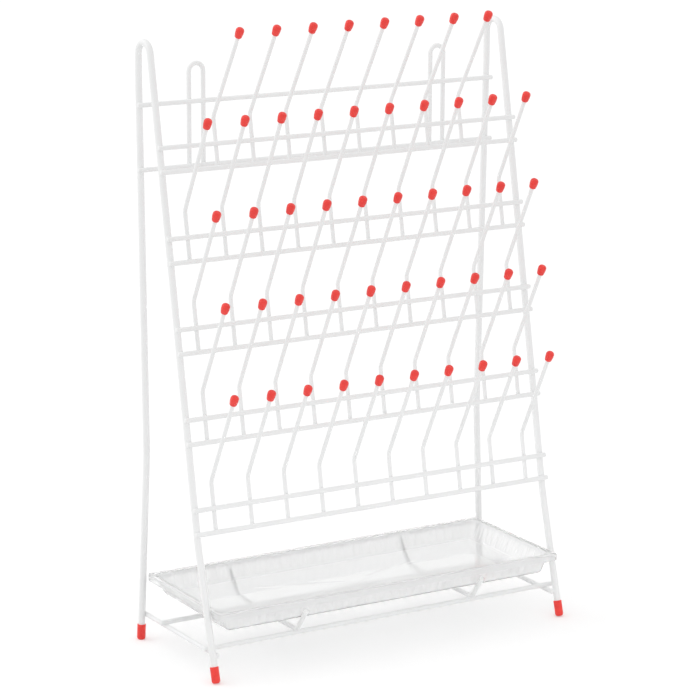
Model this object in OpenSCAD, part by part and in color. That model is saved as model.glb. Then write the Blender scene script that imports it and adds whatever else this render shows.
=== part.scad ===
// Drying pegboard rack: a free-standing welded wire rack with five rows of capped pegs for
// draining glassware, two hanging loops and a clear drip tray wedged in two wire cradles.
// X runs along the rails, +Y points to the rear legs, +Z is up. Millimetres.

/* [Side frames] */
// Distance between the two side frames, centre to centre
frame_spacing = 400; // [320:5:520]
// Height of the rack to the top of the hairpins
rack_height = 602; // [580:1:700]
// Diameter of the side frame rod
leg_d = 6.4; // [5:0.1:8]
// Radius of the hairpin at the top of each side frame, to the middle of the rod
hairpin_r = 12.5; // [9:0.5:20]
// Distance between the front and the rear leg at the bend in the front leg
knee_depth = 116; // [105:1:130]
// Distance between the front and the rear leg on the floor
foot_depth = 151; // [140:1:170]
// Height of the bend in the front leg
front_bend_height = 125; // [110:1:130]
// Height of the bend in the rear leg
rear_bend_height = 190; // [150:1:260]
// Distance from the top of the rack down to the shoulder of the rear leg
shoulder_drop = 42; // [34:1:50]
// How far the rear leg leans inwards between its shoulder and its bend
rear_lean = 5; // [0.5:0.5:8]
// How far the rear foot stands outwards of the side frame
rear_splay = 3; // [0.5:0.5:8]
// Bend radius of the slight bends in the legs
leg_bend_r = 150; // [80:5:250]

/* [Rails] */
// Diameter of the front and rear rails
rail_d = 4.4; // [3.5:0.1:5.5]
// How far a rail stands out past the outer side of the legs
rail_overhang = 0.8; // [0.2:0.1:4]
// Distance from the top of the rack down to the uppermost front rail
top_row_drop = 100; // [80:1:110]
// Height of the lowest front rail above the bend in the front leg
low_row_rise = 14.2; // [11:0.1:30]
// Distance between the upper and the lower rail of a row
rail_pair_gap = 22.8; // [16:0.1:32]
// Distance from the top of the rack down to the upper rear rail
rear_rail_drop = 64.5; // [54:0.5:72]
// Distance between the two rear rails
rear_rail_gap = 63; // [40:1:90]

/* [Pegs] */
// Diameter of the peg wire
peg_d = 3.8; // [3:0.1:5]
// Distance from the middle of a side frame to the nearest peg of a full row
end_peg_inset = 20; // [12:0.5:30]
// Pegs in each full row
row_pegs = 10; // [6:1:14]
// Pegs left out at each end of the top row
top_row_gaps = 1; // [0:1:2]
// How far the foot of a peg reaches below the lower rail's middle
peg_tail = 2; // [0:0.1:4]
// Height of a peg's bend above the upper rail
peg_bend_rise = 24.4; // [18:0.1:32]
// Bend radius of a peg, to the middle of the wire
peg_bend_r = 9; // [7:0.5:14]
// How far a peg's arm leans forwards from upright, in degrees
peg_lean = 27; // [15:0.5:40]
// How far the arms of the top row's pegs lean forwards from upright, in degrees
top_peg_lean = 31; // [15:0.5:40]
// Length of the peg's arm from the bend's corner to the wire's end
peg_arm = 104.3; // [70:0.1:125]

/* [Peg caps] */
// Outer diameter of a peg cap
peg_cap_d = 7.8; // [6.5:0.1:11]
// Length of a peg cap
peg_cap_length = 10.6; // [8:0.1:20]
// Thickness of a peg cap's end
peg_cap_end = 1.6; // [1:0.1:3]
// Edge radius of a peg cap's end
peg_cap_edge = 1.9; // [0.5:0.1:3]

/* [Foot caps] */
// Outer diameter of a foot cap
foot_cap_d = 8.6; // [8.2:0.1:12]
// Length of a foot cap
foot_cap_length = 16; // [10:0.5:19]
// Thickness of a foot cap's end
foot_cap_end = 2; // [1.2:0.1:4]
// Edge radius of a foot cap's end
foot_cap_edge = 1.6; // [0.5:0.1:3]
// How far the soft end of a foot cap is pressed flat by the floor
foot_press = 0.4; // [0.2:0.1:0.8]

/* [Hanging loops] */
// Diameter of the loop wire
loop_d = 4.4; // [3.5:0.1:5.5]
// Radius of a loop's round top, to the middle of the wire
loop_r = 7.8; // [6:0.1:14]
// Distance from each side frame inwards to the middle of the nearer loop
loop_inset = 61.5; // [50:0.5:80]
// Height of the loops' tops above the upper rear rail
loop_rise = 38.5; // [28:0.5:50]
// How far a loop's ends reach below the lower rear rail's middle
loop_tail = 2.2; // [0:0.1:10]

/* [Base] */
// Diameter of the side ties
tie_d = 4.4; // [3.5:0.1:6]
// Height of the side ties
tie_height = 25; // [23:0.5:32]
// How far a side tie reaches past the middle of each leg
tie_overhang = 4; // [1:0.5:10]
// Diameter of the base bars
bar_d = 4.4; // [3.5:0.1:6]
// How far a base bar reaches past the middle of the side frames
bar_overhang = 3; // [-2:0.5:8]
// Distance from the front leg back to the front base bar
front_bar_inset = 12; // [11:0.5:16]
// Distance from the rear leg forwards to the rear base bar
rear_bar_inset = 42; // [25:1:50]

/* [Tray cradles] */
// Diameter of the cradle wire
cradle_d = 4.4; // [3.5:0.1:6]
// Distance between the two cradles
cradle_spacing = 204; // [140:1:300]
// Length of a cradle's flat bottom, from corner to corner
cradle_flat = 118; // [114:1:121]
// Length of a cradle's arm, from the corner to its tip
cradle_arm = 30; // [22:1:34]
// How far a cradle's arm leans outwards from upright, in degrees
cradle_flare = 36.9; // [30:0.1:42]
// Bend radius at a cradle's corners, to the middle of the wire
cradle_bend_r = 9; // [4.5:0.5:11]
// Distance from the rear legs forwards to the middle of the cradles and the tray
cradle_centre = 76; // [74:0.5:78]

/* [Drip tray] */
// Clearance between the tray's rim and each side frame's rod
tray_side_gap = 0.8; // [0.4:0.1:4]
// Depth of the tray over its rim, from front to back
tray_depth = 151; // [148:1:156]
// Height of the tray
tray_height = 20.6; // [18:0.1:30]
// Thickness of the tray's walls and floor
tray_wall = 1.5; // [1:0.1:2]
// Width of the tray's flat rim
tray_rim = 4.5; // [3.5:0.1:6]
// How far the tray's rim is turned down
tray_lip = 5.5; // [2:0.1:7]
// How far the tray's front and rear walls flare outwards from floor to rim
tray_flare = 4.5; // [3:0.1:6]
// How far the tray's end walls flare outwards from floor to rim
tray_end_flare = 9; // [6:0.5:10]
// Corner radius of the tray's floor
tray_corner_r = 4; // [3:0.5:8]
// Corner radius of the tray's rim
tray_rim_corner_r = 4; // [3:0.5:12]
// Distance between the flutes in the tray's walls
flute_pitch = 9.4; // [8:0.1:14]
// Width of a flute, across the round it is cut from
flute_d = 7; // [4:0.1:8]
// How far a flute stands out of the wall
flute_rise = 0.7; // [0.3:0.1:1]
// Distance from the rim's top down to the top of a flute
flute_drop = 1.5; // [1:0.1:4]
// Width of the crossed ridges on the tray's floor, across the round they are cut from
ridge_d = 4; // [3:0.1:6]
// How far the crossed ridges stand out of the floor
ridge_rise = 0.8; // [0.4:0.1:1.2]

/* [Fits] */
// How deep two crossing wires are set into each other at a weld
weld_set = 0.4; // [0.2:0.1:0.8]
// Clearance all round between a rod and the cap pushed onto it
cap_fit = 0.05; // [0.02:0.01:0.2]
// Clearance between the tray and the cradle arms that it sits on
tray_seat_gap = 0.15; // [0.05:0.05:0.4]

/* [Hidden] */
$fn = 48;
rows = 5;
left = -1;
right = 1;
lap = 0.3; // how far a straight runs on into a bend
bend_swell = 0.02; // how much thicker the wire is round a bend
slack = 1; // how far a cutter runs past what it cuts
half_spacing = frame_spacing / 2;

// Front leg: tangent to the hairpin above, and bent forwards below its knee
hairpin_z = rack_height - leg_d / 2 - hairpin_r;
knee_to_hairpin = norm([knee_depth - hairpin_r, hairpin_z - front_bend_height]);
front_tilt = atan((knee_depth - hairpin_r) / (hairpin_z - front_bend_height))
    - asin(hairpin_r / knee_to_hairpin);
apex_height = front_bend_height + knee_depth / tan(front_tilt);
shin_slope = (foot_depth - knee_depth) / front_bend_height;
splay_slope = (rear_lean + rear_splay) / rear_bend_height;

// Where each wire lies when it is welded to its neighbour
leg_to_rail = leg_d / 2 + rail_d / 2 - weld_set;
rail_to_peg = rail_d / 2 + peg_d / 2 - weld_set;
rail_to_loop = rail_d / 2 + loop_d / 2 - weld_set;
leg_to_tie = leg_d / 2 + tie_d / 2 - weld_set;
rear_rail_y = -leg_to_rail;
rear_rail_z = rack_height - rear_rail_drop;
loop_y = rear_rail_y + rail_to_loop;
rail_end = half_spacing + leg_d / 2 + rail_overhang;
bar_z = tie_height + tie_d / 2 + bar_d / 2 - weld_set;
cradle_z = bar_z + bar_d / 2 + cradle_d / 2 - weld_set;
front_bar_y = shin_y(bar_z) + front_bar_inset;

// The rows of pegs are spread between the hairpins and the bends in the front legs
top_row_z = rack_height - top_row_drop;
low_row_z = front_bend_height + low_row_rise + rail_pair_gap;
row_pitch = (top_row_z - low_row_z) / (rows - 1);
peg_pitch = (frame_spacing - 2 * end_peg_inset) / (row_pegs - 1);

// The tray's floor edges rest on the cradle arms
floor_half_x = half_spacing - leg_d / 2 - tray_side_gap - tray_rim - tray_end_flare;
floor_half_y = tray_depth / 2 - tray_rim - tray_flare;
seat_offset = cradle_d / 2 + tray_seat_gap;
seat_along_arm = (floor_half_y - cradle_flat / 2 + seat_offset * cos(cradle_flare)) / sin(cradle_flare);
tray_z = cradle_z + seat_along_arm * cos(cradle_flare) + seat_offset * sin(cradle_flare);

// The rack is centred on its depth, from the lowest row's caps to the rear foot caps
peg_reach = peg_arm + cap_fit + peg_cap_end;
front_reach = -peg_bend(rows).y + (peg_reach - peg_cap_edge) * sin(peg_lean)
    + (peg_cap_d / 2 - peg_cap_edge) * cos(peg_lean) + peg_cap_edge;
rear_reach = foot_cap_d / 2;
mid_y = (front_reach - rear_reach) / 2;

function unit(v) = v / norm(v);
function turn(a, b) = acos(min(1, max(-1, a * b)));
function leg_y(z) = (z - front_bend_height) * tan(front_tilt) - knee_depth;
function shin_y(z) = z * shin_slope - foot_depth;
function rear_x(z) = half_spacing + rear_splay - z * splay_slope;
function rail_y(z) = leg_y(z) - leg_to_rail / cos(front_tilt);
function peg_y(z) = rail_y(z) + rail_to_peg / cos(front_tilt);
function upper_z(row) = top_row_z - (row - 1) * row_pitch;
function lower_z(row) = upper_z(row) - rail_pair_gap;
function peg_count(row) = row == 1 ? row_pegs - 2 * top_row_gaps : row_pegs;
function peg_x(row) = [for (i = [0:peg_count(row) - 1]) (i - (peg_count(row) - 1) / 2) * peg_pitch];
function peg_at(z) = [0, peg_y(z), z];
function peg_bend(row) = peg_at(upper_z(row) + peg_bend_rise);
function lean(row) = row == 1 ? top_peg_lean : peg_lean;
function peg_arm_dir(row) = [0, -sin(lean(row)), cos(lean(row))];
function front_knee(side) = [side * half_spacing, -knee_depth, front_bend_height];
function front_floor(side) = [side * half_spacing, -foot_depth, 0];
function rear_knee(side) = [side * (half_spacing - rear_lean), 0, rear_bend_height];
function rear_floor(side) = [side * (half_spacing + rear_splay), 0, 0];
function shoulder(side) = [side * half_spacing, 0, rack_height - shoulder_drop];
function hairpin_apex(side) = [side * half_spacing, 0, apex_height];

// Where a leaning foot cap's end meets its leg's line, so that its rounded edge is pressed on the floor
function cap_end_height(tilt) = (foot_cap_d / 2 - foot_cap_edge) * sin(tilt)
    + foot_cap_edge * (1 - cos(tilt)) - foot_press;
function cap_end(floor_point, knee) = let (dir = unit(knee - floor_point))
    floor_point + dir * (cap_end_height(acos(dir.z)) / dir.z);
function rod_end(floor_point, knee) = cap_end(floor_point, knee)
    + unit(knee - floor_point) * (foot_cap_end + cap_fit);

// Stands its children at a point, with their Z axis along a direction
module aim(point, dir) {
    translate(point)
        rotate([0, acos(dir.z), atan2(dir.y, dir.x)])
            children();
}

// Straight round rod from p to q
module rod(p, q, d) {
    aim(p, unit(q - p))
        cylinder(h = norm(q - p), d = d);
}

// Round bend at a corner, from the direction along to the direction away
module elbow(corner, along, away, bend_r, d) {
    angle = turn(along, away);
    inward = unit(away - along * (along * away));
    centre = corner - along * bend_r * tan(angle / 2) + inward * bend_r;
    normal = cross(-inward, along);
    multmatrix([
        [-inward.x, along.x, normal.x, centre.x],
        [-inward.y, along.y, normal.y, centre.y],
        [-inward.z, along.z, normal.z, centre.z],
        [0, 0, 0, 1]])
        rotate_extrude(angle = angle)
            translate([bend_r, 0])
                circle(d = d);
}

// Wire bent at each inner point of a path, each bend with its own radius
module wire(points, radii, d) {
    last = len(points) - 1;
    dirs = [for (i = [0:last - 1]) unit(points[i + 1] - points[i])];
    trims = [for (i = [0:last]) i == 0 || i == last ? 0
        : radii[i - 1] * tan(turn(dirs[i - 1], dirs[i]) / 2) - lap];
    for (i = [0:last - 1])
        rod(points[i] + dirs[i] * trims[i], points[i + 1] - dirs[i] * trims[i + 1], d);
    for (i = [1:last - 1])
        elbow(points[i], dirs[i - 1], dirs[i], radii[i - 1], d + bend_swell);
}

// Soft cap with its closed, rounded end at the origin and its open end up
module cap(d, length, end, edge, bore_d) {
    rotate_extrude()
        difference() {
            union() {
                translate([0, edge])
                    square([d / 2, length - edge]);
                square([d / 2 - edge, length]);
                translate([d / 2 - edge, edge])
                    circle(r = edge);
            }
            translate([0, end])
                square([bore_d / 2, length]);
        }
}

module rack() {
    translate([0, mid_y, 0])
        children();
}

// Rod bent to a hairpin: a splayed foot, the rear leg, the hairpin and the leaning front leg
module side_frame(side) {
    path = [
        rod_end(front_floor(side), front_knee(side)), front_knee(side), hairpin_apex(side),
        shoulder(side), rear_knee(side), rod_end(rear_floor(side), rear_knee(side))];
    color("whitesmoke")
        rack()
            wire(path, [leg_bend_r, hairpin_r, 2 * leg_bend_r, leg_bend_r], leg_d);
}

module front_rail(z) {
    color("whitesmoke")
        rack()
            difference() {
                rod([-rail_end, rail_y(z), z], [rail_end, rail_y(z), z], rail_d);
                for (side = [left, right])
                    rod(front_knee(side), hairpin_apex(side), leg_d);
            }
}

module rear_rail(z) {
    color("whitesmoke")
        rack()
            difference() {
                rod([-rail_end, rear_rail_y, z], [rail_end, rear_rail_y, z], rail_d);
                for (side = [left, right])
                    rod(shoulder(side), rear_knee(side), leg_d);
            }
}

module rail_cutter(y, z) {
    rod([-rail_end - slack, y, z], [rail_end + slack, y, z], rail_d);
}

// One row of pegs, each behind its two rails with a saddle where it is welded to them
module pegs(row) {
    path = [
        peg_at(lower_z(row) - peg_tail), peg_bend(row),
        peg_bend(row) + peg_arm_dir(row) * peg_arm];
    color("whitesmoke")
        rack()
            difference() {
                for (x = peg_x(row))
                    translate([x, 0, 0])
                        wire(path, [peg_bend_r], peg_d);
                rail_cutter(rail_y(upper_z(row)), upper_z(row));
                rail_cutter(rail_y(lower_z(row)), lower_z(row));
            }
}

module peg_caps(row) {
    tip = peg_bend(row) + peg_arm_dir(row) * peg_reach;
    color("red")
        rack()
            for (x = peg_x(row))
                translate([x, 0, 0])
                    aim(tip, -peg_arm_dir(row))
                        cap(peg_cap_d, peg_cap_length, peg_cap_end, peg_cap_edge, peg_d + 2 * cap_fit);
}

module foot_cap(floor_point, knee) {
    color("red")
        rack()
            difference() {
                aim(cap_end(floor_point, knee), unit(knee - floor_point))
                    cap(foot_cap_d, foot_cap_length, foot_cap_end, foot_cap_edge, leg_d + 2 * cap_fit);
                translate([floor_point.x - foot_cap_d, floor_point.y - foot_cap_d, -foot_cap_d])
                    cube([2 * foot_cap_d, 2 * foot_cap_d, foot_cap_d]);
            }
}

// Upturned U behind the rear rails, for a hook or a screw in the wall
module hang_loop(side) {
    crown_z = rear_rail_z + loop_rise - loop_d / 2 - loop_r;
    low_z = rear_rail_z - rear_rail_gap - loop_tail;
    color("whitesmoke")
        rack()
            difference() {
                translate([side * (half_spacing - loop_inset), loop_y, 0]) {
                    for (x = [-loop_r, loop_r])
                        rod([x, 0, low_z], [x, 0, crown_z + lap], loop_d);
                    translate([0, 0, crown_z])
                        rotate([90, 0, 0])
                            rotate_extrude(angle = 180)
                                translate([loop_r, 0])
                                    circle(d = loop_d + bend_swell);
                }
                rail_cutter(rear_rail_y, rear_rail_z);
                rail_cutter(rear_rail_y, rear_rail_z - rear_rail_gap);
            }
}

// Where a side tie's middle line starts, past the front leg, and ends, past the rear leg
function tie_front(side) = [
    side * (half_spacing - leg_to_tie), shin_y(tie_height) - tie_overhang, tie_height];
function tie_rear(side) = [side * (rear_x(tie_height) - leg_to_tie), tie_overhang, tie_height];

module side_tie(side) {
    color("whitesmoke")
        rack()
            difference() {
                rod(tie_front(side), tie_rear(side), tie_d);
                rod(front_floor(side), front_knee(side), leg_d);
                rod(rear_floor(side), rear_knee(side), leg_d);
            }
}

module base_bar(y) {
    reach = half_spacing + bar_overhang;
    color("whitesmoke")
        rack()
            difference() {
                rod([-reach, y, bar_z], [reach, y, bar_z], bar_d);
                for (side = [left, right])
                    rod(tie_front(side), tie_rear(side), tie_d);
            }
}

// Wire across both base bars, with an arm flared up at each end to hold the tray
module tray_cradle(side) {
    reach = half_spacing + bar_overhang;
    arm = cradle_arm * [0, sin(cradle_flare), cos(cradle_flare)];
    rear = [0, cradle_flat / 2, 0];
    color("whitesmoke")
        rack()
            difference() {
                translate([side * cradle_spacing / 2, -cradle_centre, cradle_z])
                    wire([[0, -arm.y, arm.z] - rear, -rear, rear, rear + arm], [cradle_bend_r, cradle_bend_r],
                        cradle_d);
                for (y = [front_bar_y, -rear_bar_inset])
                    rod([-reach, y, bar_z], [reach, y, bar_z], bar_d);
            }
}

// Block with sloping sides and round corners, standing on z = 0
module flared_block(half_x, half_y, corner_r, height, flare, end_flare) {
    lean_out = (end_flare - flare) / height;
    x = half_x - corner_r;
    y = half_y - corner_r;
    translate([0, y, 0])
        rotate([90, 0, 0])
            linear_extrude(2 * y)
                polygon([
                    [-half_x, 0], [half_x, 0],
                    [half_x + end_flare, height], [-half_x - end_flare, height]]);
    translate([-x, 0, 0])
        rotate([90, 0, 90])
            linear_extrude(2 * x)
                polygon([
                    [-half_y, 0], [half_y, 0],
                    [half_y + flare, height], [-half_y - flare, height]]);
    for (way = [left, right], corner_y = [-y, y])
        multmatrix([
            [1, 0, way * lean_out, way * x],
            [0, 1, 0, corner_y],
            [0, 0, 1, 0],
            [0, 0, 0, 1]])
            cylinder(h = height, r1 = corner_r, r2 = corner_r + flare);
}

// Upright ribs on the tray's inner walls, in the tray's own place
module flutes(half_x, half_y, slope, end_slope) {
    sink = flute_d / 2 - flute_rise;
    low = tray_wall - slack;
    high = tray_height - flute_drop;
    long_count = floor((half_x - tray_corner_r) / flute_pitch);
    short_count = floor((half_y - tray_corner_r) / flute_pitch);
    for (i = [-long_count:long_count], wall = [-1, 1])
        rod([i * flute_pitch, wall * (half_y + low * slope + sink), low],
            [i * flute_pitch, wall * (half_y + high * slope + sink), high], flute_d);
    for (i = [-short_count:short_count], wall = [-1, 1])
        rod([wall * (half_x + low * end_slope + sink), i * flute_pitch, low],
            [wall * (half_x + high * end_slope + sink), i * flute_pitch, high], flute_d);
}

// Two ridges from corner to corner of the tray's floor
module floor_ridges(half_x, half_y) {
    z = tray_wall + ridge_rise - ridge_d / 2;
    for (way = [-1, 1])
        rod([-half_x, way * half_y, z], [half_x, -way * half_y, z], ridge_d);
}

// Shallow tray with fluted, flared walls, a turned-down rim and crossed floor ridges
module drip_tray() {
    slope = tray_flare / tray_height;
    end_slope = tray_end_flare / tray_height;
    rim_x = floor_half_x + tray_end_flare + tray_rim;
    rim_y = floor_half_y + tray_flare + tray_rim;
    inner_x = floor_half_x - tray_wall;
    inner_y = floor_half_y - tray_wall;
    lip_height = tray_wall + tray_lip;
    color("lightcyan", 0.5)
        rack()
            translate([0, -cradle_centre, tray_z])
                difference() {
                    union() {
                        flared_block(
                            floor_half_x, floor_half_y, tray_corner_r, tray_height, tray_flare, tray_end_flare);
                        translate([0, 0, tray_height - lip_height])
                            flared_block(rim_x, rim_y, tray_rim_corner_r, lip_height, 0, 0);
                    }
                    difference() {
                        translate([0, 0, tray_height - lip_height - slack])
                            flared_block(
                                rim_x - tray_wall, rim_y - tray_wall, tray_rim_corner_r - tray_wall,
                                tray_lip + slack, 0, 0);
                        flared_block(
                            floor_half_x, floor_half_y, tray_corner_r, tray_height, tray_flare, tray_end_flare);
                    }
                    difference() {
                        translate([0, 0, tray_wall])
                            flared_block(
                                inner_x + tray_wall * end_slope, inner_y + tray_wall * slope, tray_corner_r,
                                tray_height, tray_flare, tray_end_flare);
                        flutes(inner_x, inner_y, slope, end_slope);
                        floor_ridges(inner_x, inner_y);
                    }
                }
}

side_frame(left);  // side_frame_left
side_frame(right);  // side_frame_right
side_tie(left);  // side_tie_left
side_tie(right);  // side_tie_right
base_bar(front_bar_y);  // base_bar_front
base_bar(-rear_bar_inset);  // base_bar_rear
tray_cradle(left);  // tray_cradle_left
tray_cradle(right);  // tray_cradle_right
rear_rail(rear_rail_z);  // rear_rail_upper
rear_rail(rear_rail_z - rear_rail_gap);  // rear_rail_lower
hang_loop(left);  // hang_loop_left
hang_loop(right);  // hang_loop_right
front_rail(upper_z(1));  // row_1_rail_upper
front_rail(lower_z(1));  // row_1_rail_lower
front_rail(upper_z(2));  // row_2_rail_upper
front_rail(lower_z(2));  // row_2_rail_lower
front_rail(upper_z(3));  // row_3_rail_upper
front_rail(lower_z(3));  // row_3_rail_lower
front_rail(upper_z(4));  // row_4_rail_upper
front_rail(lower_z(4));  // row_4_rail_lower
front_rail(upper_z(5));  // row_5_rail_upper
front_rail(lower_z(5));  // row_5_rail_lower
pegs(1);  // row_1_pegs
pegs(2);  // row_2_pegs
pegs(3);  // row_3_pegs
pegs(4);  // row_4_pegs
pegs(5);  // row_5_pegs
peg_caps(1);  // row_1_peg_caps
peg_caps(2);  // row_2_peg_caps
peg_caps(3);  // row_3_peg_caps
peg_caps(4);  // row_4_peg_caps
peg_caps(5);  // row_5_peg_caps
foot_cap(front_floor(left), front_knee(left));  // foot_cap_front_left
foot_cap(front_floor(right), front_knee(right));  // foot_cap_front_right
foot_cap(rear_floor(left), rear_knee(left));  // foot_cap_rear_left
foot_cap(rear_floor(right), rear_knee(right));  // foot_cap_rear_right
drip_tray();
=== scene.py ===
import math

import bmesh
import bpy
from mathutils import Matrix, Vector


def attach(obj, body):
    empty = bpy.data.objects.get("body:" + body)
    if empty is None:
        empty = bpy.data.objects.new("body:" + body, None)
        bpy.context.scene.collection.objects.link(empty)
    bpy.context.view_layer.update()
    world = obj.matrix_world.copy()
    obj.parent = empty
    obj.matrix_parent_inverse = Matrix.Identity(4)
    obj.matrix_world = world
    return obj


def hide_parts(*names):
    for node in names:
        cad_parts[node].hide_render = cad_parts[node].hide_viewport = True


# Drying pegboard rack: white coated wire, red dipped caps and a clear drip tray.
# Sizes are in millimetres until the meshes are made; the rack stands on z = 0 and faces -Y.

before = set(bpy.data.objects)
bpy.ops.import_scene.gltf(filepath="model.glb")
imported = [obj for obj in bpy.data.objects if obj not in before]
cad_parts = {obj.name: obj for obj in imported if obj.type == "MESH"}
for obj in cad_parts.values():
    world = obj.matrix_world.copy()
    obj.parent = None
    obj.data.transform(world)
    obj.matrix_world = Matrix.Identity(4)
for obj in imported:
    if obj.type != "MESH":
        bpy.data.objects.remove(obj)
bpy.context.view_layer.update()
print("frame loaded:", len(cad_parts), "nodes")

metre = 0.001  # one millimetre in metres
leftRight = {"left": -1, "right": 1}

# The side frame: a rod from the front foot over the hairpin down to the rear foot
rack = {
    "middleY": 75.932, "halfSpacing": 200, "height": 602, "legD": 6.4, "hairpinR": 12.5,
    "kneeDepth": 116, "kneeHeight": 125, "footDepth": 151, "rearBend": 190, "shoulderDrop": 42,
    "rearLean": 5, "rearSplay": 3, "bendR": 150, "shoulderR": 300, "turnStep": 5, "sides": 28,
    "weldSet": 0.4,
}
rackHalf = rack["halfSpacing"]
legR = rack["legD"] / 2
hairpinZ = rack["height"] - legR - rack["hairpinR"]
shoulderZ = rack["height"] - rack["shoulderDrop"]
hairpinRun, hairpinRise = rack["kneeDepth"] - rack["hairpinR"], hairpinZ - rack["kneeHeight"]
frontTilt = (math.atan(hairpinRun / hairpinRise)
             - math.asin(rack["hairpinR"] / math.hypot(hairpinRun, hairpinRise)))
apexZ = rack["kneeHeight"] + rack["kneeDepth"] / math.tan(frontTilt)
legNormal = Vector((0, math.cos(frontTilt), -math.sin(frontTilt)))  # square to the front legs, to the rear


def place(x, y, z):
    return Vector((x, y + rack["middleY"], z))


def legY(z):
    return (z - rack["kneeHeight"]) * math.tan(frontTilt) - rack["kneeDepth"]


def shinY(z):
    return z * (rack["footDepth"] - rack["kneeDepth"]) / rack["kneeHeight"] - rack["footDepth"]


def rearX(z):
    return rackHalf + rack["rearSplay"] - z * (rack["rearLean"] + rack["rearSplay"]) / rack["rearBend"]


def easeIn(value, low, high):
    t = min(1, max(0, (value - low) / (high - low)))
    return t * t * (3 - 2 * t)


def newObject(name, mesh):
    obj = bpy.data.objects.new(name, mesh)
    bpy.context.scene.collection.objects.link(obj)
    return obj


def dress(obj, slotName, *nodeNames):
    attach(obj, "root")
    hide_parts(*nodeNames)


# Finishes
def newFinish(name):
    finish = bpy.data.materials.new(name)
    finish.use_nodes = True
    nodes = finish.node_tree.nodes
    return finish, nodes, finish.node_tree.links, nodes["Principled BSDF"]


def grain(nodes, links, scale, detail=2):
    # soft noise that stays with the object
    where = nodes.new("ShaderNodeTexCoord")
    noise = nodes.new("ShaderNodeTexNoise")
    noise.inputs["Scale"].default_value = scale
    noise.inputs["Detail"].default_value = detail
    links.new(where.outputs["Object"], noise.inputs["Vector"])
    return noise.outputs["Fac"]


def remapped(nodes, links, value, given=(0, 1), wanted=(0, 1)):
    spread = nodes.new("ShaderNodeMapRange")
    for label, number in zip(("From Min", "From Max", "To Min", "To Max"), (*given, *wanted)):
        spread.inputs[label].default_value = number
    links.new(value, spread.inputs["Value"])
    return spread.outputs["Result"]


def addBump(nodes, links, shader, height, strength, depth):
    bump = nodes.new("ShaderNodeBump")
    bump.inputs["Strength"].default_value = strength
    bump.inputs["Distance"].default_value = depth
    links.new(height, bump.inputs["Height"])
    links.new(bump.outputs["Normal"], shader.inputs["Normal"])


def reckoned(nodes, links, operation, one, other):
    # two values, each a socket or a plain number, put through one operation
    step = nodes.new("ShaderNodeMath")
    step.operation = operation
    for value, socket in zip((one, other), step.inputs):
        if isinstance(value, (int, float)):
            socket.default_value = value
        else:
            links.new(value, socket)
    return step.outputs[0]


def patchyFinish(name, look):
    # two near colours in soft patches, which also differ in roughness, under a fine grain
    finish, nodes, links, shader = newFinish(name)
    patches = grain(nodes, links, look["patches"], look["patchDetail"])
    tint = nodes.new("ShaderNodeMix")
    tint.data_type = "RGBA"
    tint.inputs["A"].default_value = (*look["patchColour"], 1)
    tint.inputs["B"].default_value = (*look["colour"], 1)
    links.new(remapped(nodes, links, patches, look["patchRange"]), tint.inputs["Factor"])
    links.new(tint.outputs["Result"], shader.inputs["Base Color"])
    links.new(remapped(nodes, links, patches, wanted=look["roughness"]), shader.inputs["Roughness"])
    fine = grain(nodes, links, look["grain"])
    addBump(nodes, links, shader, fine, look["grainStrength"], look["grainDepth"])
    for label, value in look["shader"].items():
        shader.inputs[label].default_value = value
    return finish


# The baked coat of the wires lies thinner in places and has a slight orange peel
whiteCoatLook = {
    "colour": (0.945, 0.95, 0.95), "patchColour": (0.925, 0.93, 0.93), "patches": 30, "patchDetail": 3,
    "patchRange": (0.30, 0.55), "roughness": (0.27, 0.37), "grain": 450, "grainStrength": 0.6,
    "grainDepth": 0.00001,
    "shader": {"Specular IOR Level": 0.35, "Coat Weight": 0.06, "Coat Roughness": 0.12},
}
whiteCoat = patchyFinish("whiteWireCoat", whiteCoatLook)

redVinylLook = {
    "colour": (0.95, 0.05, 0.038), "patchColour": (0.85, 0.034, 0.028), "patches": 160, "patchDetail": 3,
    "patchRange": (0.30, 0.60), "roughness": (0.28, 0.40), "grain": 900, "grainStrength": 0.5,
    "grainDepth": 0.00004,
    "shader": {"Subsurface Weight": 0.05, "Subsurface Radius": (0.002, 0.0004, 0.0003),
               "Subsurface Scale": 1},
}
redVinyl = patchyFinish("redDippedVinyl", redVinylLook)

clearTrayLook = {
    "colour": (0.978, 0.98, 0.98), "clearness": 0.735, "ior": 1.26, "haze": 35, "hazeDetail": 4,
    "hazeRange": (0.35, 0.75), "roughness": (0.05, 0.12), "wave": 60, "waveStrength": 0.5,
    "waveDepth": 0.00002, "shade": (0.90, 0.91, 0.91), "density": 25, "shadow": (0.6, 0.6, 0.6),
}


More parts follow.
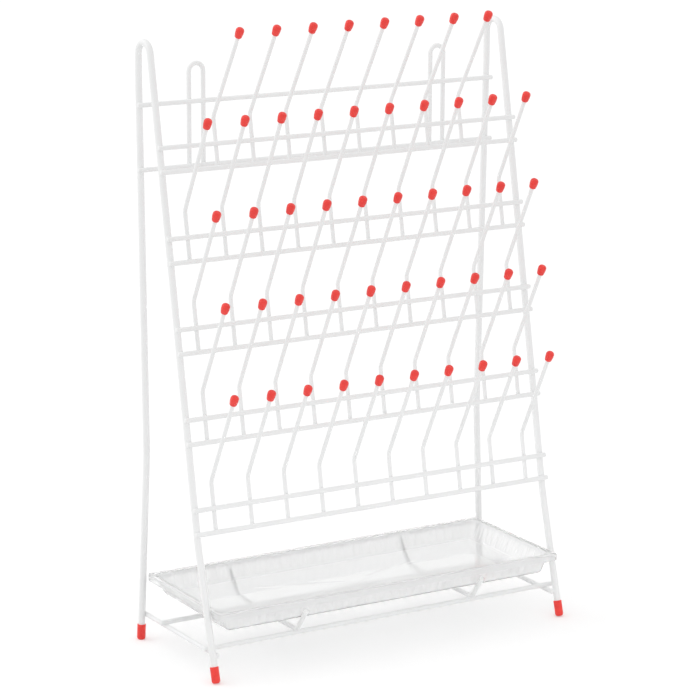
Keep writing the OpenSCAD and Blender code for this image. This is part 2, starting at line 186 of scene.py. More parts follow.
def clearTrayFinish(look):
    finish, nodes, links, shader = newFinish("clearTrayPlastic")
    haze = grain(nodes, links, look["haze"], look["hazeDetail"])  # rinsed plastic is never evenly clear
    links.new(remapped(nodes, links, haze, look["hazeRange"], look["roughness"]), shader.inputs["Roughness"])
    wave = grain(nodes, links, look["wave"])  # moulded sheet is slightly wavy
    addBump(nodes, links, shader, wave, look["waveStrength"], look["waveDepth"])
    shader.inputs["Base Color"].default_value = (*look["colour"], 1)
    shader.inputs["IOR"].default_value = look["ior"]
    shader.inputs["Transmission Weight"].default_value = look["clearness"]
    letThrough = nodes.new("ShaderNodeBsdfTransparent")  # lamps shine through the clear plastic
    letThrough.inputs["Color"].default_value = (*look["shadow"], 1)
    ray = nodes.new("ShaderNodeLightPath")
    mixed = nodes.new("ShaderNodeMixShader")
    links.new(ray.outputs["Is Shadow Ray"], mixed.inputs["Fac"])
    links.new(shader.outputs["BSDF"], mixed.inputs[1])
    links.new(letThrough.outputs["BSDF"], mixed.inputs[2])
    links.new(mixed.outputs["Shader"], nodes["Material Output"].inputs["Surface"])
    body = nodes.new("ShaderNodeVolumeAbsorption")  # long ways through the plastic go grey
    body.inputs["Color"].default_value = (*look["shade"], 1)
    body.inputs["Density"].default_value = look["density"]
    links.new(body.outputs["Volume"], nodes["Material Output"].inputs["Volume"])
    return finish


clearTray = clearTrayFinish(clearTrayLook)
print("finishes made")


# Round wire along a path of points, with bends of their own radius, dressed ends and weld beads.
# An end is rounded over "edge"; its arc gives the way along the wire and the fall of the radius.
wireLook = {
    "sides": 20, "turnStep": 7.5, "leastSteps": 4, "edge": 0.9,
    "endArc": ((0, 15), (30, 30), (60, 60), (90, 90)),
    "beadSpread": 2, "beadHeight": 1.15, "beadSides": 12, "beadRings": 6, "coatBuild": 0.4,
}


def bentPath(points, radii, turnStep):
    path = [points[0]]
    for i in range(1, len(points) - 1):
        along = (points[i] - points[i - 1]).normalized()
        away = (points[i + 1] - points[i]).normalized()
        angle = along.angle(away)
        radius = radii[i - 1]
        inward = (away - along * along.dot(away)).normalized()
        centre = points[i] - along * radius * math.tan(angle / 2) + inward * radius
        count = max(wireLook["leastSteps"], math.ceil(math.degrees(angle) / turnStep))
        for k in range(count + 1):
            turned = angle * k / count
            path.append(centre - inward * radius * math.cos(turned) + along * radius * math.sin(turned))
    path.append(points[-1])
    return path


def taperedEnds(path, wireR, edge):
    ends = []
    for tip, inner in ((path[0], path[1]), (path[-1], path[-2])):
        way = (inner - tip).normalized()
        ends.append([(tip + way * edge * (1 - math.cos(math.radians(a))),
                      1 - edge / wireR * (1 - math.sin(math.radians(b)))) for a, b in wireLook["endArc"]])
    return ends[0] + [(p, 1) for p in path[1:-1]] + ends[1][::-1]


def newTree(name, given, made):
    tree = bpy.data.node_groups.new(name, "GeometryNodeTree")
    for label, kind in given:
        tree.interface.new_socket(label, in_out="INPUT", socket_type="NodeSocket" + kind)
    tree.interface.new_socket(made, in_out="OUTPUT", socket_type="NodeSocketGeometry")
    sources = tree.nodes.new("NodeGroupInput").outputs
    return tree, tree.nodes, tree.links, sources, tree.nodes.new("NodeGroupOutput").inputs[made]


def attribute(nodes, name, kind):
    named = nodes.new("GeometryNodeInputNamedAttribute")
    named.data_type = kind
    named.inputs["Name"].default_value = name
    return named.outputs["Attribute"]


def placed(nodes, links, points, shape, turn, size):
    # one copy of a shape on every point, turned and sized
    copies = nodes.new("GeometryNodeInstanceOnPoints")
    for label, socket in (("Points", points), ("Instance", shape), ("Rotation", turn), ("Scale", size)):
        links.new(socket, copies.inputs[label])
    return copies.outputs["Instances"]


def finished(nodes, links, geometry, finish, made):
    real = nodes.new("GeometryNodeRealizeInstances")
    links.new(geometry, real.inputs["Geometry"])
    coat = nodes.new("GeometryNodeSetMaterial")
    links.new(real.outputs["Geometry"], coat.inputs["Geometry"])
    links.new(finish, coat.inputs["Material"])
    links.new(coat.outputs["Geometry"], made)


def wireTree():
    tree, nodes, links, given, made = newTree("coatedWire", (
        ("Paths and welds", "Geometry"), ("Wire diameter", "Float"), ("Sides", "Int"),
        ("Bead spread", "Float"), ("Bead height", "Float"), ("Bead sides", "Int"),
        ("Finish", "Material")), "Wire")
    half = reckoned(nodes, links, "MULTIPLY", given["Wire diameter"], 0.5)
    radius = reckoned(nodes, links, "MULTIPLY", half, attribute(nodes, "taper", "FLOAT"))
    curve = nodes.new("GeometryNodeMeshToCurve")
    links.new(given["Paths and welds"], curve.inputs["Mesh"])
    thick = nodes.new("GeometryNodeSetCurveRadius")
    links.new(curve.outputs["Curve"], thick.inputs["Curve"])
    links.new(radius, thick.inputs["Radius"])
    ring = nodes.new("GeometryNodeCurvePrimitiveCircle")
    ring.inputs["Radius"].default_value = 1
    links.new(given["Sides"], ring.inputs["Resolution"])
    tube = nodes.new("GeometryNodeCurveToMesh")
    tube.inputs["Fill Caps"].default_value = True
    links.new(thick.outputs["Curve"], tube.inputs["Curve"])
    links.new(ring.outputs["Curve"], tube.inputs["Profile Curve"])
    links.new(radius, tube.inputs["Scale"])
    welds = nodes.new("GeometryNodeSeparateGeometry")
    links.new(given["Paths and welds"], welds.inputs["Geometry"])
    links.new(attribute(nodes, "weld", "BOOLEAN"), welds.inputs["Selection"])
    ball = nodes.new("GeometryNodeMeshUVSphere")
    ball.inputs["Rings"].default_value = wireLook["beadRings"]
    ball.inputs["Radius"].default_value = 1
    links.new(given["Bead sides"], ball.inputs["Segments"])
    size = nodes.new("ShaderNodeCombineXYZ")
    for axis, label in (("X", "Bead spread"), ("Y", "Bead spread"), ("Z", "Bead height")):
        links.new(given[label], size.inputs[axis])
    beads = placed(nodes, links, welds.outputs["Selection"], ball.outputs["Mesh"],
                   attribute(nodes, "turn", "FLOAT_VECTOR"), size.outputs["Vector"])
    both = nodes.new("GeometryNodeJoinGeometry")
    links.new(tube.outputs["Mesh"], both.inputs["Geometry"])
    links.new(beads, both.inputs["Geometry"])
    smooth = nodes.new("GeometryNodeSetShadeSmooth")
    links.new(both.outputs["Geometry"], smooth.inputs["Geometry"])
    finished(nodes, links, smooth.outputs["Geometry"], given["Finish"], made)
    return tree


def grown(name, mesh, tree, settings):
    # runs a tree over a mesh and keeps the result as a plain mesh
    seed = newObject(name + "Seed", mesh)
    modifier = seed.modifiers.new(tree.name, "NODES")
    modifier.node_group = tree
    for item in tree.interface.items_tree:
        if item.item_type == "SOCKET" and item.in_out == "INPUT" and item.name in settings:
            modifier[item.identifier] = settings[item.name]
    ready = seed.evaluated_get(bpy.context.evaluated_depsgraph_get())
    result = bpy.data.meshes.new_from_object(ready)
    bpy.data.objects.remove(seed)
    bpy.data.meshes.remove(mesh)
    result.name = name
    return newObject(name, result)


def turnTo(normal):
    return Vector((0, 0, 1)).rotation_difference(normal).to_euler()


def wirePiece(name, paths, wireD, welds, nodeName, sidesOfWire=wireLook["sides"]):
    points, edges, taper = [], [], []
    for path in paths:
        stations = taperedEnds(path, wireD / 2, wireLook["edge"])
        first = len(points)
        points += [p * metre for p, _ in stations]
        taper += [t for _, t in stations]
        edges += [(first + i, first + i + 1) for i in range(len(stations) - 1)]
    weldStart = len(points)
    points += [p * metre for p, _ in welds]
    mesh = bpy.data.meshes.new(name + "Path")
    mesh.from_pydata(points, edges, [])
    mesh.attributes.new("taper", "FLOAT", "POINT").data.foreach_set("value", taper + [1.0] * len(welds))
    marks = mesh.attributes.new("weld", "BOOLEAN", "POINT")
    marks.data.foreach_set("value", [i >= weldStart for i in range(len(points))])
    turns = mesh.attributes.new("turn", "FLOAT_VECTOR", "POINT")
    for i, (_, normal) in enumerate(welds):
        turns.data[weldStart + i].vector = turnTo(normal)
    obj = grown(name, mesh, coatedWire, {
        "Wire diameter": (wireD + wireLook["coatBuild"]) * metre, "Sides": sidesOfWire,
        "Bead spread": wireLook["beadSpread"] * metre, "Bead height": wireLook["beadHeight"] * metre,
        "Bead sides": wireLook["beadSides"], "Finish": whiteCoat})
    dress(obj, "white_coated_wire", nodeName)


coatedWire = wireTree()

# Side frames, with their feet inside the foot caps
footCap = {"d": 8.6, "length": 16, "end": 2, "edge": 1.6, "softEdge": 2.6, "press": 0.4, "fit": 0.05,
           "lip": 0.45, "mouth": 1, "sides": 40, "seed": 20}


def capEnd(floorPoint, knee):
    way = (knee - floorPoint).normalized()
    tilt = math.acos(way.z)
    height = ((footCap["d"] / 2 - footCap["edge"]) * math.sin(tilt)
              + footCap["edge"] * (1 - math.cos(tilt)) - footCap["press"])
    return floorPoint + way * (height / way.z), way


def rodEnd(floorPoint, knee):
    tip, way = capEnd(floorPoint, knee)
    return tip + way * (footCap["end"] + footCap["fit"])


feet = {}
for side, sign in leftRight.items():
    frontFloor = place(sign * rackHalf, -rack["footDepth"], 0)
    frontKnee = place(sign * rackHalf, -rack["kneeDepth"], rack["kneeHeight"])
    apex = place(sign * rackHalf, 0, apexZ)
    shoulder = place(sign * rackHalf, 0, shoulderZ)
    rearKnee = place(sign * (rackHalf - rack["rearLean"]), 0, rack["rearBend"])
    rearFloor = place(sign * (rackHalf + rack["rearSplay"]), 0, 0)
    feet["front_" + side] = (frontFloor, frontKnee)
    feet["rear_" + side] = (rearFloor, rearKnee)
    path = bentPath([rodEnd(frontFloor, frontKnee), frontKnee, apex, shoulder, rearKnee,
                     rodEnd(rearFloor, rearKnee)],
                    [rack["bendR"], rack["hairpinR"], rack["shoulderR"], rack["bendR"]], rack["turnStep"])
    wirePiece("sideFrame" + side.title(), [path], rack["legD"], [], "side_frame_" + side, rack["sides"])
print("side frames bent")

# Front rails in pairs, welded to the front of the legs
rails = {
    "d": 4.4, "overhang": 0.8, "topRowZ": 502, "rowPitch": 85, "pairGap": 22.8, "rows": 5,
    "rearUpperZ": 537.5, "rearGap": 63,
}
railR = rails["d"] / 2
legToRail = legR + railR - rack["weldSet"]
railEnd = rackHalf + legR + rails["overhang"]


def railY(z):
    return legY(z) - legToRail / math.cos(frontTilt)


for row in range(1, rails["rows"] + 1):
    for level, drop in (("upper", 0), ("lower", rails["pairGap"])):
        z = rails["topRowZ"] - (row - 1) * rails["rowPitch"] - drop
        welds = [(place(sign * rackHalf, railY(z), z) + legNormal * (railR - rack["weldSet"] / 2), legNormal)
                 for sign in leftRight.values()]
        wirePiece("row%dRail%s" % (row, level.title()),
                  [[place(-railEnd, railY(z), z), place(railEnd, railY(z), z)]], rails["d"], welds,
                  "row_%d_rail_%s" % (row, level))

backwards = Vector((0, 1, 0))
rearRailY = -legToRail
rearZ = {"upper": rails["rearUpperZ"], "lower": rails["rearUpperZ"] - rails["rearGap"]}
for level, z in rearZ.items():
    legX = rackHalf - rack["rearLean"] * (shoulderZ - z) / (shoulderZ - rack["rearBend"])
    welds = [(place(sign * legX, rearRailY + railR - rack["weldSet"] / 2, z), backwards)
             for sign in leftRight.values()]
    wirePiece("rearRail" + level.title(),
              [[place(-railEnd, rearRailY, z), place(railEnd, rearRailY, z)]], rails["d"], welds,
              "rear_rail_" + level)
print("rails laid")

# Pegs: welded behind each pair of rails, bent forwards above them
pegs = {
    "d": 3.8, "tail": 2, "bendRise": 24.4, "bendR": 9, "lean": 27, "topLean": 31, "arm": 104.3,
    "perRow": 10, "topRow": 8, "pitch": 40, "sides": 16,
}
pegR = pegs["d"] / 2
railToPeg = railR + pegR - rack["weldSet"]


def pegY(z):
    return railY(z) + railToPeg / math.cos(frontTilt)


def pegRow(row):
    upperZ = rails["topRowZ"] - (row - 1) * rails["rowPitch"]
    lean = math.radians(pegs["topLean"] if row == 1 else pegs["lean"])
    count = pegs["topRow"] if row == 1 else pegs["perRow"]
    xs = [(i - (count - 1) / 2) * pegs["pitch"] for i in range(count)]
    bendZ = upperZ + pegs["bendRise"]
    footZ = upperZ - rails["pairGap"] - pegs["tail"]
    armWay = Vector((0, -math.sin(lean), math.cos(lean)))
    return xs, upperZ, footZ, bendZ, armWay


for row in range(1, rails["rows"] + 1):
    xs, upperZ, footZ, bendZ, armWay = pegRow(row)
    paths, welds = [], []
    for x in xs:
        bend = place(x, pegY(bendZ), bendZ)
        paths.append(bentPath([place(x, pegY(footZ), footZ), bend, bend + armWay * pegs["arm"]],
                              [pegs["bendR"]], wireLook["turnStep"]))
        welds += [(place(x, railY(z), z) + legNormal * (railR - rack["weldSet"] / 2), legNormal)
                  for z in (upperZ, upperZ - rails["pairGap"])]
    wirePiece("row%dPegs" % row, paths, pegs["d"], welds, "row_%d_pegs" % row, pegs["sides"])
print("pegs set")

# Hanging loops behind the rear rails
loops = {"d": 4.4, "r": 7.8, "offset": 138.5, "rise": 38.5, "tail": 2.2, "arcStep": 9}
loopR = loops["d"] / 2
loopY = rearRailY + railR + loopR - rack["weldSet"]
crownZ = rails["rearUpperZ"] + loops["rise"] - loopR - loops["r"]
for side, sign in leftRight.items():
    lowZ = rearZ["lower"] - loops["tail"]
    middle = sign * loops["offset"]
    arc = [place(middle - loops["r"] * math.cos(math.radians(a)), loopY,
                 crownZ + loops["r"] * math.sin(math.radians(a))) for a in range(0, 181, loops["arcStep"])]
    path = [place(middle - loops["r"], loopY, lowZ), *arc, place(middle + loops["r"], loopY, lowZ)]
    welds = [(place(middle + shift, rearRailY + railR - rack["weldSet"] / 2, z), backwards)
             for shift in (-loops["r"], loops["r"]) for z in rearZ.values()]
    wirePiece("hangLoop" + side.title(), [path], loops["d"], welds, "hang_loop_" + side)

# The base: side ties between the feet, two bars across them and two cradles for the tray
base = {
    "wireD": 4.4, "tieZ": 25, "tieOverhang": 4, "tieNose": 0.6, "barOverhang": 3, "frontInset": 12,
    "rearInset": 42, "cradleX": 102, "cradleFlat": 118, "cradleArm": 30, "cradleFlare": 36.9,
    "cradleBend": 9, "cradleMiddle": 76,
}
baseR = base["wireD"] / 2
legToTie = legR + baseR - rack["weldSet"]
barZ = base["tieZ"] + 2 * baseR - rack["weldSet"]
barYs = {"front": shinY(barZ) + base["frontInset"], "rear": -base["rearInset"]}
cradleZ = barZ + 2 * baseR - rack["weldSet"]
upwards = Vector((0, 0, 1))
tieZ, tieFrontY = base["tieZ"], shinY(base["tieZ"])
tieFrontX, tieRearX = rackHalf - legToTie, rearX(tieZ) - legToTie
weldInset = baseR - rack["weldSet"] / 2
for side, sign in leftRight.items():
    start = place(sign * tieFrontX, tieFrontY - base["tieNose"], tieZ)
    finish = place(sign * tieRearX, base["tieOverhang"], tieZ)
    outwards = Vector((sign, 0, 0))
    welds = [(place(sign * (tieFrontX + weldInset), tieFrontY, tieZ), outwards),
             (place(sign * (tieRearX + weldInset), 0, tieZ), outwards)]
    wirePiece("sideTie" + side.title(), [[start, finish]], base["wireD"], welds, "side_tie_" + side)

barReach = rackHalf + base["barOverhang"]
for end, y in barYs.items():
    tieX = tieFrontX + (tieRearX - tieFrontX) * (y - tieFrontY) / -tieFrontY
    welds = [(place(sign * tieX, y, tieZ + weldInset), upwards) for sign in leftRight.values()]
    wirePiece("baseBar" + end.title(), [[place(-barReach, y, barZ), place(barReach, y, barZ)]],
              base["wireD"], welds, "base_bar_" + end)

flare = math.radians(base["cradleFlare"])
armY, armZ = base["cradleArm"] * math.sin(flare), base["cradleArm"] * math.cos(flare)
frontY = -base["cradleMiddle"] - base["cradleFlat"] / 2
rearY = -base["cradleMiddle"] + base["cradleFlat"] / 2
for side, sign in leftRight.items():
    x = sign * base["cradleX"]
    path = bentPath([place(x, frontY - armY, cradleZ + armZ), place(x, frontY, cradleZ),
                     place(x, rearY, cradleZ), place(x, rearY + armY, cradleZ + armZ)],
                    [base["cradleBend"]] * 2, wireLook["turnStep"])
    welds = [(place(x, y, barZ + weldInset), upwards) for y in barYs.values()]
    wirePiece("trayCradle" + side.title(), [path], base["wireD"], welds, "tray_cradle_" + side)
print("loops, ties, bars and cradles set")


# Dipped caps: a lathe shape with a rounded closed end at the origin and a soft rolled mouth
capShape = {
    "flatShare": 0.55, "roundStep": 18, "sideShares": (0.2, 0.35, 0.5, 0.65, 0.8, 0.92),
    "narrowing": (0.3, 1.1), "lipStep": 22, "lipInside": 0.5, "lipDrop": 0.1, "lipDepth": 0.6,
    "innerEdge": 0.2,
}


def capProfile(cap, boreR):
    # radius and height, from the middle of the closed end over the mouth and down the bore
    r, edge, end, length, lip = cap["d"] / 2, cap["softEdge"], cap["end"], cap["length"], cap["lip"]
    mouth = r * cap["mouth"]
    profile = [(0, 0), ((r - edge) * capShape["flatShare"], 0)]
    for a in range(0, 91, capShape["roundStep"]):
        turned = math.radians(a)
        profile.append((r - edge + edge * math.sin(turned), edge - edge * math.cos(turned)))
    for share in capShape["sideShares"]:
        profile.append((mouth + (r - mouth) * (1 - easeIn(share, *capShape["narrowing"])),
                        edge + (length - lip - edge) * share))
    for a in range(0, 91, capShape["lipStep"]):
        turned = math.radians(a)
        profile.append((mouth - lip + lip * math.cos(turned), length - lip + lip * math.sin(turned)))
    profile.append((boreR + lip * capShape["lipInside"], length - lip * capShape["lipDrop"]))
    profile += [(boreR, length - lip * capShape["lipDepth"]), (boreR, end + capShape["innerEdge"])]
    return profile + [(boreR / 2, end), (0, end)]


def ringBand(shape, lower, upper):
    # the faces between two rings, either of which may be a single point
    count = max(len(lower), len(upper))
    for i in range(count):
        j = (i + 1) % count
        if len(lower) == 1:
            shape.faces.new((lower[0], upper[j], upper[i]))
        elif len(upper) == 1:
            shape.faces.new((lower[i], lower[j], upper[0]))
        else:
            shape.faces.new((lower[i], lower[j], upper[j], upper[i]))


def smoothMesh(name, shape):
    bmesh.ops.recalc_face_normals(shape, faces=shape.faces)
    for face in shape.faces:
        face.smooth = True
    mesh = bpy.data.meshes.new(name)
    shape.to_mesh(mesh)
    shape.free()
    return mesh


def capPattern(name, cap, wireD):
    shape = bmesh.new()
    rings = []
    for radius, z in capProfile(cap, wireD / 2 + cap["fit"]):
        angles = [2 * math.pi * i / cap["sides"] for i in range(cap["sides"] if radius else 1)]
        rings.append([shape.verts.new((radius * math.cos(a), radius * math.sin(a), z)) for a in angles])
    for lower, upper in zip(rings, rings[1:]):
        ringBand(shape, lower, upper)
    mesh = smoothMesh(name, shape)
    mesh.transform(Matrix.Scale(metre, 4))
    return newObject(name, mesh)


def capTree():
    tree, nodes, links, given, made = newTree("capsOnWires", (
        ("Wire ends", "Geometry"), ("Cap", "Object"), ("Swell", "Float"), ("Seed", "Int"),
        ("Finish", "Material")), "Caps")
    cap = nodes.new("GeometryNodeObjectInfo")
    links.new(given["Cap"], cap.inputs["Object"])
    vary = nodes.new("FunctionNodeRandomValue")  # no two dips leave quite the same thickness
    vary.data_type = "FLOAT"
    least, most = [socket for socket in vary.inputs if socket.type == "VALUE"][:2]
    links.new(reckoned(nodes, links, "SUBTRACT", 1, given["Swell"]), least)
    most.default_value = 1
    links.new(given["Seed"], vary.inputs["Seed"])
    across = [socket for socket in vary.outputs if socket.type == "VALUE"][0]
    size = nodes.new("ShaderNodeCombineXYZ")
    links.new(across, size.inputs["X"])
    links.new(across, size.inputs["Y"])
    size.inputs["Z"].default_value = 1
    copies = placed(nodes, links, given["Wire ends"], cap.outputs["Geometry"],
                    attribute(nodes, "turn", "FLOAT_VECTOR"), size.outputs["Vector"])
    finished(nodes, links, copies, given["Finish"], made)
    return tree


def capPiece(name, ends, pattern, seed, nodeName):
    mesh = bpy.data.meshes.new(name + "Ends")
    mesh.from_pydata([tip * metre for tip, _ in ends], [], [])
    turns = mesh.attributes.new("turn", "FLOAT_VECTOR", "POINT")
    for i, (_, way) in enumerate(ends):
        turns.data[i].vector = turnTo(way)
    obj = grown(name, mesh, capsOnWires,
                {"Cap": pattern, "Swell": pegCap["swell"], "Seed": seed, "Finish": redVinyl})
    dress(obj, "red_vinyl", nodeName)
    return obj


pegCap = {"d": 8.4, "length": 10.3, "end": 1.6, "softEdge": 2.7, "fit": 0.05, "lip": 0.9, "mouth": 0.86,
          "sides": 24, "swell": 0.03}
capsOnWires = capTree()
pegCapPattern = capPattern("pegCapPattern", pegCap, pegs["d"])
for row in range(1, rails["rows"] + 1):
    xs, _, _, bendZ, armWay = pegRow(row)
    reach = pegs["arm"] + pegCap["fit"] + pegCap["end"]
    ends = [(place(x, pegY(bendZ), bendZ) + armWay * reach, -armWay) for x in xs]
    capPiece("row%dPegCaps" % row, ends, pegCapPattern, row, "row_%d_peg_caps" % row)
bpy.data.objects.remove(pegCapPattern)

footCapPattern = capPattern("footCapPattern", footCap, rack["legD"])
for number, (corner, (floorPoint, knee)) in enumerate(feet.items()):
    piece = capPiece("footCap" + corner.title().replace("_", ""), [capEnd(floorPoint, knee)],
                     footCapPattern, footCap["seed"] + number, "foot_cap_" + corner)
    for vert in piece.data.vertices:  # the soft end is pressed flat by the floor
        vert.co.z = max(vert.co.z, 0)
bpy.data.objects.remove(footCapPattern)
print("caps dipped")

# Clear tray: one closed skin lofted over rounded rectangles, from under the floor over the rim and back in.
# Each "Fade" is the span of heights over which the flutes come up or die out; the rim's profile runs from
# its root round the lip, as the inset from the rim's outside and the height over the lip's lower edge.
tray = {
    "halfX": 182.5, "halfY": 66.5, "z": 46.903, "height": 20.6, "wall": 1.5, "flare": 4.5, "endFlare": 9,
    "rim": 4.5, "lip": 5.5, "cornerR": 4, "rimCornerR": 4, "leastR": 0.6, "heelR": 3, "edgeR": 1,
    "innerEdgeR": 1.6, "floorBendR": 1.6, "underRim": 0.25, "rootReach": 0.5, "rootR": 7.5,
    "rimProfile": ((2.1, 5.5), (1.5, 4.9), (1.5, 3), (1.5, 1.6), (1.5, 0.4), (1.15, 0.02), (0.35, 0.02),
                   (0.08, 0.25), (0, 0.7), (0, 2.5), (0, 4.8), (0, 5.7)),
    "rimTop": (1.25, 3.5),
    "flutePitch": 9.4, "fluteWidth": 5.2, "fluteRise": 0.9, "outerFlute": 0.9,
    "outerZs": (3, 4, 5.4, 8, 11, 13.5, 15.5, 17, 18.3),
    "outerLowFade": (2.4, 5.4), "outerHighFade": (15.8, 18.2),
    "innerZs": (18.9, 18.2, 17.4, 16, 13.5, 11, 8, 5.6, 4.4, 3.4),
    "innerLowFade": (2.6, 5.4), "innerHighFade": (16.9, 19.1),
    "ridgeWidth": 10, "ridgeRise": 0.15, "ridgeFade": 0.06,
    "longCount": 220, "shortCount": 80, "cornerCount": 9, "floorRings": 34, "arcStep": 15, "edgeStep": 20,
    "joinWithin": 0.000002,
}


def roundRing(halfX, halfY, r):
    # points of a rounded rectangle, with the outward direction and whether each stands on a straight wall
    ring = []
    corners = [(halfX - r, halfY - r, 0), (r - halfX, halfY - r, 90),
               (r - halfX, r - halfY, 180), (halfX - r, r - halfY, 270)]
    counts = [tray["longCount"], tray["shortCount"]] * 2
    for k, (cx, cy, startAngle) in enumerate(corners):
        for i in range(tray["cornerCount"]):
            a = math.radians(startAngle + 90 * i / (tray["cornerCount"] - 1))
            ring.append((cx + r * math.cos(a), cy + r * math.sin(a), math.cos(a), math.sin(a), False))
        a = math.radians(startAngle + 90)
        nx, ny = math.cos(a), math.sin(a)
        sx, sy = cx + r * nx, cy + r * ny
        ex, ey, _ = corners[(k + 1) % 4]
        ex, ey = ex + r * nx, ey + r * ny
        for i in range(1, counts[k]):
            t = i / counts[k]
            ring.append((sx + (ex - sx) * t, sy + (ey - sy) * t, nx, ny, True))
    return ring


def swelling(off):
    # a soft ridge: 1 on its middle line and 0 from its edge, where "off" is 1
    return 0.5 + 0.5 * math.cos(math.pi * off) if off < 1 else 0


def fluteAt(along, halfLength):
    # how far the wall stands in at this place, from 0 to 1
    nearest = round(along / tray["flutePitch"]) * tray["flutePitch"]
    if abs(nearest) > halfLength - tray["cornerR"]:
        return 0
    return swelling(abs(along - nearest) / (tray["fluteWidth"] / 2))


def floorRings(edgeRing, z):
    # rings from a wall's foot to the middle of the floor, raised where the crossed ridges run
    reachX, reachY = tray["halfX"] - tray["wall"], tray["halfY"] - tray["wall"]
    rings = []
    for k in range(1, tray["floorRings"]):
        share = 1 - k / tray["floorRings"]
        fade = easeIn(1 - share, 0, tray["ridgeFade"])
        ring = []
        for x, y, _ in edgeRing:
            px, py = x * share, y * share
            off = min(abs(px * reachY - py * reachX), abs(px * reachY + py * reachX))
            off /= math.hypot(reachX, reachY) * tray["ridgeWidth"] / 2
            ring.append((px, py, z + tray["ridgeRise"] * swelling(off) * fade))
        rings.append(ring)
    return rings


def trayStations():
    # half x, half y, corner radius, height and flute depth of each rounded rectangle
    height, wall = tray["height"], tray["wall"]
    slope, endSlope = tray["flare"] / height, tray["endFlare"] / height
    rimX = tray["halfX"] + tray["endFlare"] + tray["rim"]
    rimY = tray["halfY"] + tray["flare"] + tray["rim"]
    lipZ = height - wall - tray["lip"]
    stations = []

    def outer(z, inset=0, flute=0):
        stations.append((tray["halfX"] + endSlope * z - inset, tray["halfY"] + slope * z - inset,
                         tray["cornerR"] + slope * z - inset, z, flute))

    def rim(inset, z):
        stations.append((rimX - inset, rimY - inset, max(tray["leastR"], tray["rimCornerR"] - inset), z, 0))

    def inner(z, inset=0, flute=0):
        cornerR = max(tray["leastR"], tray["cornerR"] + slope * (z - wall) - inset)
        stations.append((tray["halfX"] - wall + endSlope * z - inset,
                         tray["halfY"] - wall + slope * z - inset, cornerR, z, flute))

    r = tray["heelR"]
    for a in range(0, 90, tray["arcStep"]):
        outer(r - r * math.cos(math.radians(a)), r - r * math.sin(math.radians(a)))
    for z in tray["outerZs"]:
        shown = easeIn(z, *tray["outerLowFade"]) * (1 - easeIn(z, *tray["outerHighFade"]))
        outer(z, 0, tray["outerFlute"] * shown)
    outer(height - wall - tray["underRim"])
    stations.append((tray["halfX"] + tray["endFlare"] + tray["rootReach"],
                     tray["halfY"] + tray["flare"] + tray["rootReach"], tray["rootR"], height - wall, 0))
    for inset, rise in tray["rimProfile"]:
        rim(inset, lipZ + rise)
    r = tray["edgeR"]
    for a in range(tray["edgeStep"], 90, tray["edgeStep"]):  # rounded outer edge of the rim
        rim(r - r * math.cos(math.radians(a)), height - r + r * math.sin(math.radians(a)))
    for inset in tray["rimTop"]:
        rim(inset, height)
    r = tray["innerEdgeR"]
    for a in range(90, 0, -tray["arcStep"]):  # rounded inner edge
        inner(height - r + r * math.sin(math.radians(a)), r * math.cos(math.radians(a)) - r)
    for z in tray["innerZs"]:
        shown = easeIn(z, *tray["innerLowFade"]) * (1 - easeIn(z, *tray["innerHighFade"]))
        inner(z, 0, tray["fluteRise"] * shown)
    r = tray["floorBendR"]
    for a in range(0, 91, tray["arcStep"]):  # round where the wall meets the floor
        inner(wall + r - r * math.sin(math.radians(a)), r - r * math.cos(math.radians(a)))
    return stations


def toWorld(point):
    x, y, z = point
    return place(x, y - base["cradleMiddle"], z + tray["z"]) * metre


def trayMesh():
    rings = []
    for halfX, halfY, r, z, flute in trayStations():
        ring = []
        for x, y, nx, ny, straight in roundRing(halfX, halfY, r):
            depth = 0
            if flute and straight:
                along, reach = (x, tray["halfX"]) if abs(ny) > abs(nx) else (y, tray["halfY"])
                depth = flute * fluteAt(along, reach)
            ring.append((x - nx * depth, y - ny * depth, z))
        rings.append(ring)
    rings = floorRings(rings[0], 0)[::-1] + rings + floorRings(rings[-1], tray["wall"])
    shape = bmesh.new()
    made = [[shape.verts.new(toWorld(point)) for point in ring] for ring in rings]
    for lower, upper in zip(made, made[1:]):
        ringBand(shape, lower, upper)
    ringBand(shape, made[-1], [shape.verts.new(toWorld((0, 0, tray["wall"] + tray["ridgeRise"])))])
    ringBand(shape, [shape.verts.new(toWorld((0, 0, tray["ridgeRise"])))], made[0])
    bmesh.ops.remove_doubles(shape, verts=shape.verts, dist=tray["joinWithin"])
    return smoothMesh("dripTray", shape)


dripTray = newObject("dripTray", trayMesh())
dripTray.data.materials.append(clearTray)
dress(dripTray, "clear_plastic", "drip_tray")
print("tray moulded:", len(dripTray.data.polygons), "faces")

# Pale floor that reads white and keeps the rack's soft shadow
floorLook = {"radius": 30, "sides": 64, "colour": 0.82, "lift": 0.268}


def seenRays(nodes, links):
    # one for rays that come from the camera, straight or by way of gloss and clear plastic
    ray = nodes.new("ShaderNodeLightPath").outputs
    direct = reckoned(nodes, links, "MAXIMUM", ray["Is Camera Ray"], ray["Is Glossy Ray"])
    return reckoned(nodes, links, "MAXIMUM", direct, ray["Is Transmission Ray"])


def floorFinish(look):
    finish, nodes, links, shader = newFinish("paleFloor")
    nodes.remove(shader)
    plain = nodes.new("ShaderNodeBsdfDiffuse")
    plain.inputs["Color"].default_value = (*[look["colour"]] * 3, 1)
    lift = nodes.new("ShaderNodeEmission")
    lift.inputs["Strength"].default_value = look["lift"]
    lifted = nodes.new("ShaderNodeAddShader")
    links.new(plain.outputs["BSDF"], lifted.inputs[0])
    links.new(lift.outputs["Emission"], lifted.inputs[1])
    mixed = nodes.new("ShaderNodeMixShader")
    links.new(seenRays(nodes, links), mixed.inputs["Fac"])
    links.new(plain.outputs["BSDF"], mixed.inputs[1])
    links.new(lifted.outputs["Shader"], mixed.inputs[2])
    links.new(mixed.outputs["Shader"], nodes["Material Output"].inputs["Surface"])
    return finish


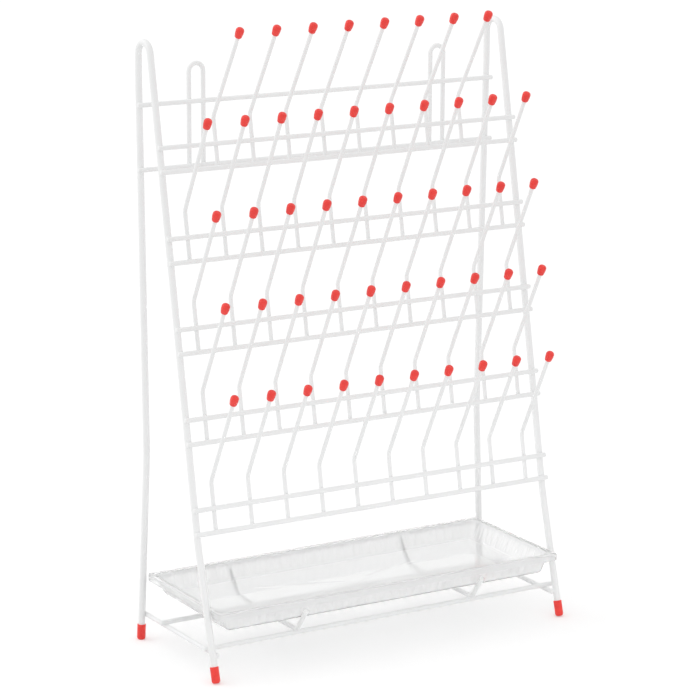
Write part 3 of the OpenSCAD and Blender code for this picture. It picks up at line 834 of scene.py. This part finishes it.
floorMesh = bpy.data.meshes.new("paleFloor")
floorShape = bmesh.new()
bmesh.ops.create_circle(floorShape, cap_ends=True, segments=floorLook["sides"], radius=floorLook["radius"])
floorShape.to_mesh(floorMesh)
floorShape.free()
paleFloor = newObject("paleFloor", floorMesh)
floorMesh.materials.append(floorFinish(floorLook))

# Soft studio light: an even white room, one wide lamp from the upper left, and a weak one near the floor
# that stands for what the pale table throws back on the lowest wires
studio = {
    "room": 0.845, "seen": 1, "key": 0.62, "keySpread": 60, "keyFrom": (-0.78, 0.64, 0.75),
    "fill": 0.15, "fillSpot": (0, -0.38, 0.05), "fillFrom": (0, -1, 0), "fillWidth": 0.6, "fillHeight": 0.08,
}


def evenLight(nodes, strength):
    light = nodes.new("ShaderNodeBackground")
    light.inputs["Color"].default_value = (1, 1, 1, 1)
    light.inputs["Strength"].default_value = strength
    return light.outputs["Background"]


def aimedFrom(obj, way):
    obj.rotation_euler = Vector(way).to_track_quat("Z", "Y").to_euler()


def lightRoom(look):
    world = bpy.data.worlds.new("whiteRoom")
    bpy.context.scene.world = world
    world.use_nodes = True
    nodes, links = world.node_tree.nodes, world.node_tree.links
    nodes.remove(nodes["Background"])
    mixed = nodes.new("ShaderNodeMixShader")
    links.new(seenRays(nodes, links), mixed.inputs["Fac"])
    links.new(evenLight(nodes, look["room"]), mixed.inputs[1])
    links.new(evenLight(nodes, look["seen"]), mixed.inputs[2])
    links.new(mixed.outputs["Shader"], nodes["World Output"].inputs["Surface"])
    key = bpy.data.lights.new("keyLamp", "SUN")
    key.energy = look["key"]
    key.angle = math.radians(look["keySpread"])
    aimedFrom(newObject("keyLamp", key), look["keyFrom"])
    fill = bpy.data.lights.new("lowFill", "AREA")
    fill.shape = "RECTANGLE"
    fill.size = look["fillWidth"]
    fill.size_y = look["fillHeight"]
    fill.energy = look["fill"]
    fillLamp = newObject("lowFill", fill)
    fillLamp.location = look["fillSpot"]
    aimedFrom(fillLamp, look["fillFrom"])
    fillLamp.visible_camera = False
    fillLamp.visible_glossy = False
    fillLamp.visible_transmission = False


lightRoom(studio)

# The camera stands to the front left, a little above the rack
view = {
    "spot": (-1.42902, -2.33344, 0.94173), "heading": 30.67, "dip": 12.51, "roll": 0.25,
    "sensor": 36, "lens": 146.24, "shiftX": 0.0464, "shiftY": -0.0658, "reach": 100,
}


def setCamera(look):
    heading, dip, roll = (math.radians(look[key]) for key in ("heading", "dip", "roll"))
    ahead = Vector((math.sin(heading) * math.cos(dip), math.cos(heading) * math.cos(dip), -math.sin(dip)))
    level = ahead.cross(Vector((0, 0, 1))).normalized()
    upright = level.cross(ahead)
    right = level * math.cos(roll) + upright * math.sin(roll)
    up = upright * math.cos(roll) - level * math.sin(roll)
    lens = bpy.data.cameras.new("camera")
    lens.sensor_width = look["sensor"]
    lens.lens = look["lens"]
    lens.shift_x = look["shiftX"]
    lens.shift_y = look["shiftY"]
    lens.clip_end = look["reach"]
    camera = newObject("camera", lens)
    turned = Matrix((right, up, -ahead)).transposed().to_4x4()
    camera.matrix_world = Matrix.Translation(look["spot"]) @ turned
    bpy.context.scene.camera = camera


setCamera(view)
bpy.context.scene.view_settings.view_transform = "Standard"
print("floor, light and camera set")
